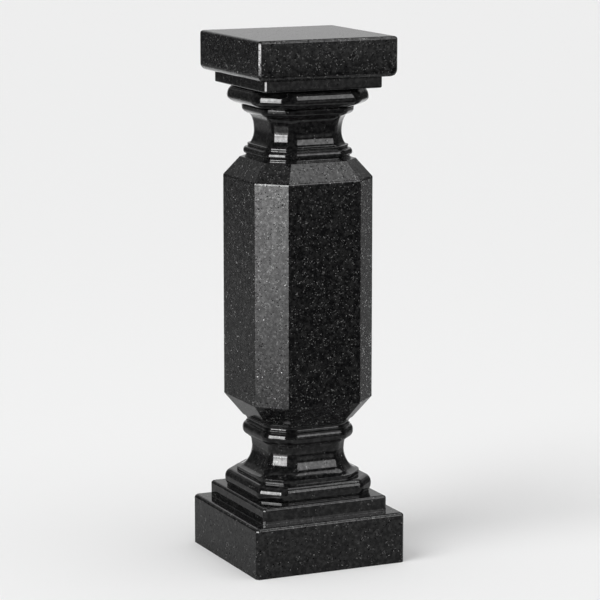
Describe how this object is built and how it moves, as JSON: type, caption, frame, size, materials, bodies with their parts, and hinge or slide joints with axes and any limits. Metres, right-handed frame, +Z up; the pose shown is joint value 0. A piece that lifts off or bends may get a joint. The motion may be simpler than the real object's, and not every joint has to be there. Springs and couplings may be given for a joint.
{
  "type": "stone baluster",
  "caption": "Baluster of polished black granite: square plinth and abacus, chamfered shaft, moulded necks. It stands on its underside and carries a rail or coping on its top.",
  "frame": {"origin": "centre of the plinth's underside, which is the face that the baluster stands on", "axes": "+Z up along the baluster's axis; X and Y square to the plinth's sides"},
  "size_m": [0.2, 0.2, 0.6532],
  "materials": {
    "polished_black_granite": "polished"
  },
  "bodies": {
    "root": {"baluster": "polished_black_granite"}
  },
  "joints": []
}
